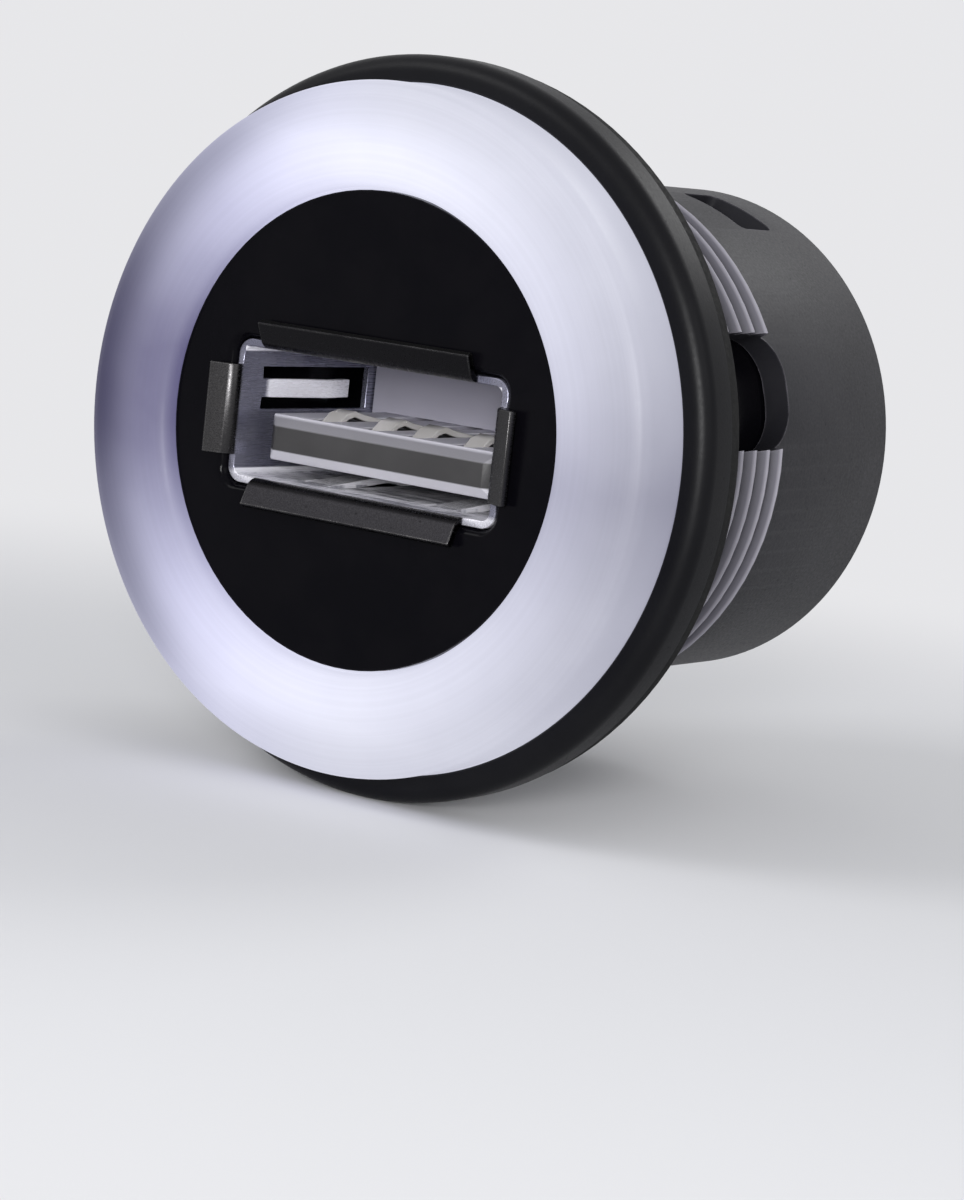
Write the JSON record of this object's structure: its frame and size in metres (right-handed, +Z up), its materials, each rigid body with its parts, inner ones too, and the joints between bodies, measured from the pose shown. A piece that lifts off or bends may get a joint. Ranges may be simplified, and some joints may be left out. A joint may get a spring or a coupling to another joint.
{
  "type": "usb panel socket",
  "caption": "Round panel-mount USB-A socket with a lit white ring round a glossy black face, a black collar with a gasket and a grey threaded barrel behind the panel.",
  "frame": {"origin": "centre of the panel seat, the rear face of the gasket, on the barrel's axis", "axes": "-Y out of the panel towards the user, +Y along the barrel behind the panel, +X along the port's long side, +Z up"},
  "size_m": [0.0292, 0.0264, 0.0292],
  "materials": {
    "gasket_rubber": "matte",
    "seal_rubber": "satin",
    "collar_black": "satin",
    "ring_diffuser": "milky, lit from inside",
    "board_white": "solder mask, satin",
    "wire_red": "satin",
    "wire_black": "satin",
    "face_black": "glossy",
    "barrel_grey": "satin",
    "port_steel": "nickel plated, satin",
    "port_plastic": "matte",
    "contact_gold": "gold plated, glossy",
    "board_green": "solder mask, satin",
    "chip_black": "matte",
    "led_white": "glossy",
    "resistor_black": "ceramic, glossy",
    "header_plastic": "satin",
    "pin_tin": "tin plated, satin",
    "cover_black": "satin",
    "spring_steel": "phosphated, satin"
  },
  "bodies": {
    "root": {"bezel_collar": "collar_black", "contact_data_minus": "contact_gold", "contact_data_plus": "contact_gold", "contact_ground": "contact_gold", "contact_vbus": "contact_gold", "esd_array": "chip_black", "front_insert": "face_black", "header_pin_1": "pin_tin", "header_pin_2": "pin_tin", "header_pin_3": "pin_tin", "header_pin_4": "pin_tin", "header_pin_5": "pin_tin", "header_pin_6": "pin_tin", "insert_o_ring": "seal_rubber", "led_board": "board_white", "led_resistor_1": "resistor_black", "led_resistor_2": "resistor_black", "led_resistor_3": "resistor_black", "led_resistor_4": "resistor_black", "led_wire_negative": "wire_black", "led_wire_positive": "wire_red", "light_ring": "ring_diffuser", "main_board": "board_green", "panel_gasket": "gasket_rubber", "rear_cover": "cover_black", "rear_header": "header_plastic", "ring_led_1": "led_white", "ring_led_2": "led_white", "ring_led_3": "led_white", "ring_led_4": "led_white", "ring_led_5": "led_white", "ring_led_6": "led_white", "ring_led_7": "led_white", "ring_led_8": "led_white", "snap_ring": "spring_steel", "threaded_barrel": "barrel_grey", "usb_insulator": "port_plastic", "usb_shell": "port_steel"}
  },
  "joints": []
}
